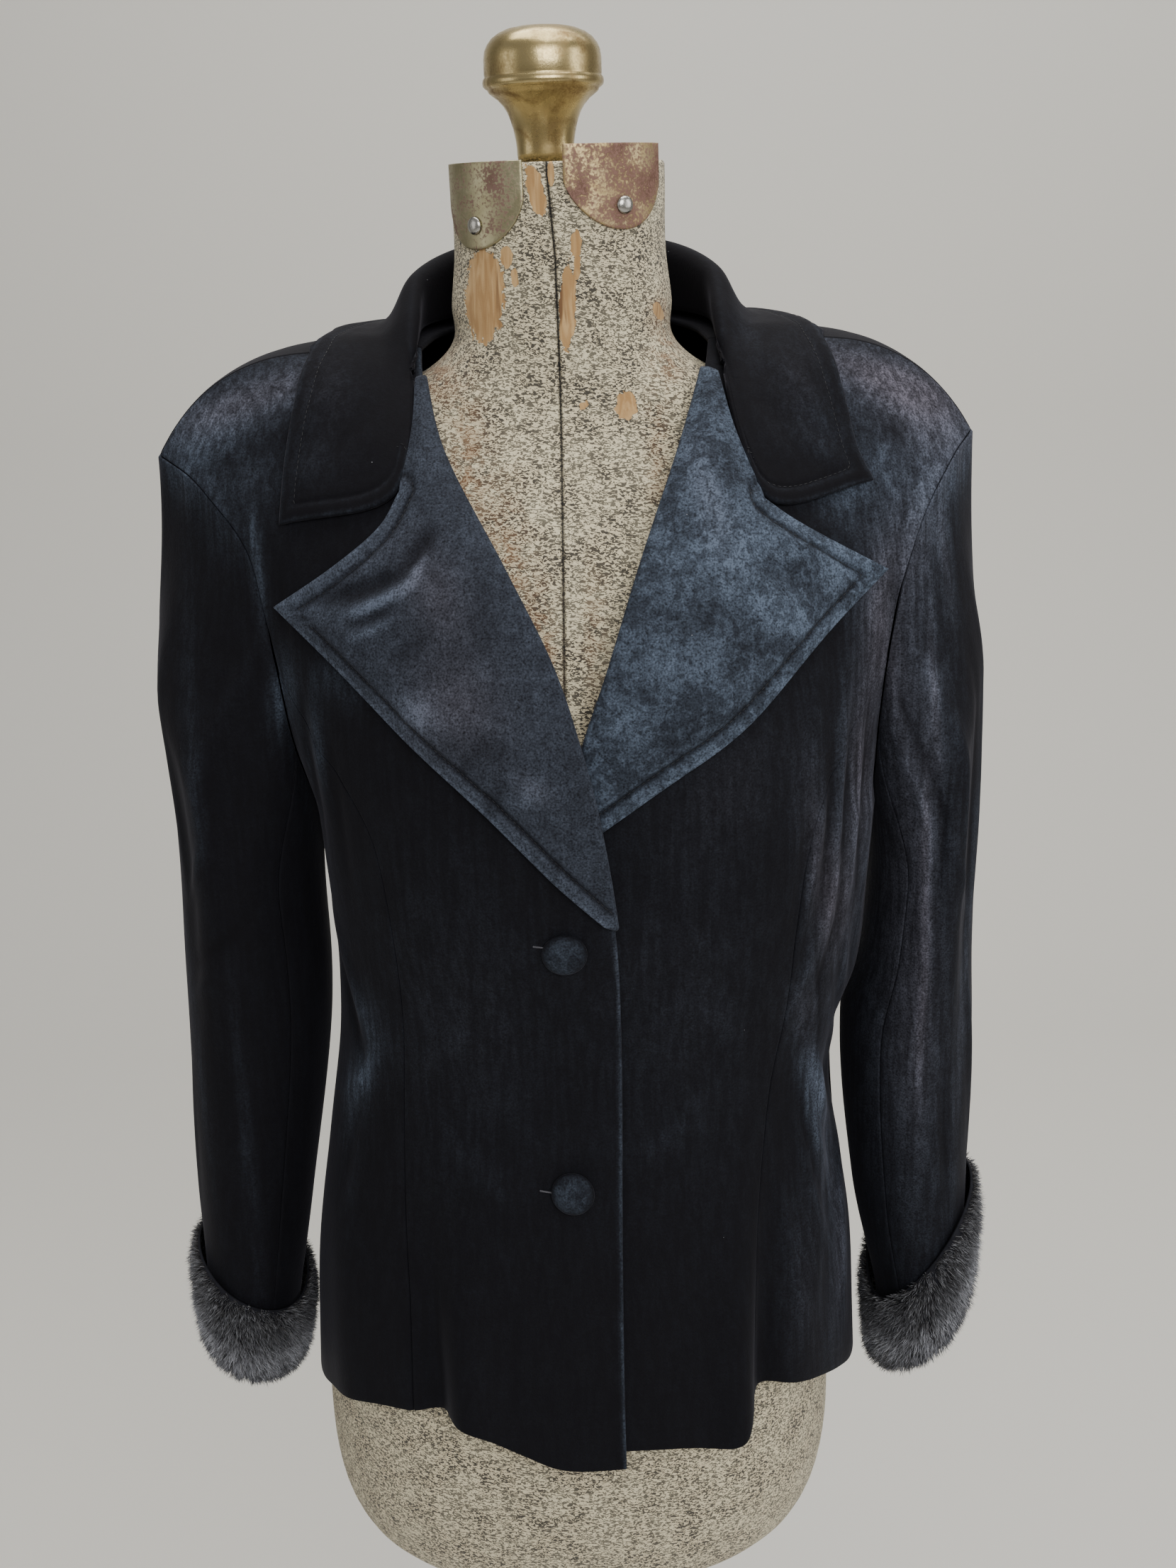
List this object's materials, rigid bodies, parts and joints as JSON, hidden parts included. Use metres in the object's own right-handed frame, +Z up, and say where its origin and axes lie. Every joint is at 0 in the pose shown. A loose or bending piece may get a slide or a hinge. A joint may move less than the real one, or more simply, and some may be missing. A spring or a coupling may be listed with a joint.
{
  "type": "velvet jacket on a limbless dress form",
  "caption": "Fitted dark velvet jacket with notched lapels, covered buttons and fur cuffs, on a limbless knit-covered dress form with a brass knob, pole and round foot.",
  "frame": {"origin": "on the floor, at the middle of the foot and under the pole", "axes": "+Z up; the front of the jacket faces -Y; the wearer's right side is at -X"},
  "size_m": [0.4934, 0.37, 1.3718],
  "materials": {
    "velvet": "near-black navy velvet with a blue-grey sheen",
    "lapel_velvet": "the same velvet on the lapels, its nap catching the light blue-grey",
    "fur": "dark grey fur with silvery tips",
    "knit": "marled black and cream knit with worn tan patches",
    "brass": "aged",
    "plate": "rusted and mottled",
    "steel": "satin",
    "iron": "dark painted"
  },
  "bodies": {
    "root": {"front_right": "velvet", "side_front_right": "velvet", "back_right": "velvet", "front_left": "velvet", "side_front_left": "velvet", "back_left": "velvet", "upper_sleeve_right": "velvet", "under_sleeve_right": "velvet", "upper_sleeve_left": "velvet", "under_sleeve_left": "velvet", "collar": "velvet", "button_top": "velvet", "button_low": "velvet", "lapel_right": "lapel_velvet", "lapel_left": "lapel_velvet", "fur_cuff_right": "fur", "fur_cuff_left": "fur", "form_torso": "knit", "neck_plate_right": "plate", "neck_plate_left": "plate", "rivet_right": "steel", "rivet_left": "steel", "socket": "steel", "pole": "steel", "knob": "brass", "foot": "iron"}
  },
  "joints": []
}
